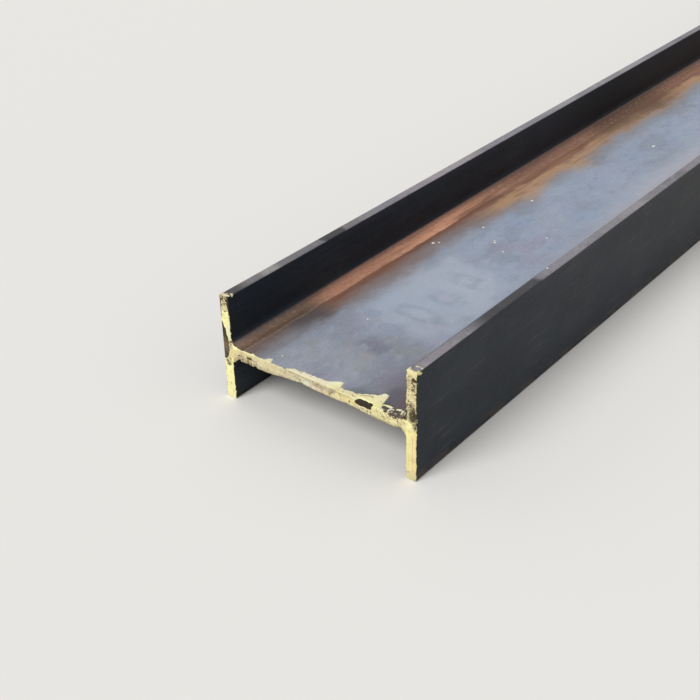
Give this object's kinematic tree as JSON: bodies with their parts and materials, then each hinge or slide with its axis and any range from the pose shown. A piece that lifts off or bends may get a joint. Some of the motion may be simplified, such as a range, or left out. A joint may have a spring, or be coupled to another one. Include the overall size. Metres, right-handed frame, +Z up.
{
  "type": "steel i-beam",
  "caption": "Length of hot-rolled steel H-section with parallel flanges on edge, a level web between them and one painted end.",
  "frame": {"origin": "on the floor below the middle of the beam, the bottom centre of its bounding box", "axes": "+Y along the beam away from its painted end, +X from one flange to the other across the section's depth, +Z up, square to the web"},
  "size_m": [0.15, 6, 0.075],
  "materials": {
    "rolled_steel": "hot-rolled mill scale, blue-grey with rust along the root fillets",
    "end_paint": "pale yellow marking paint brushed over the sawn end, thin and ragged"
  },
  "bodies": {
    "root": {"beam": "rolled_steel"}
  },
  "joints": []
}
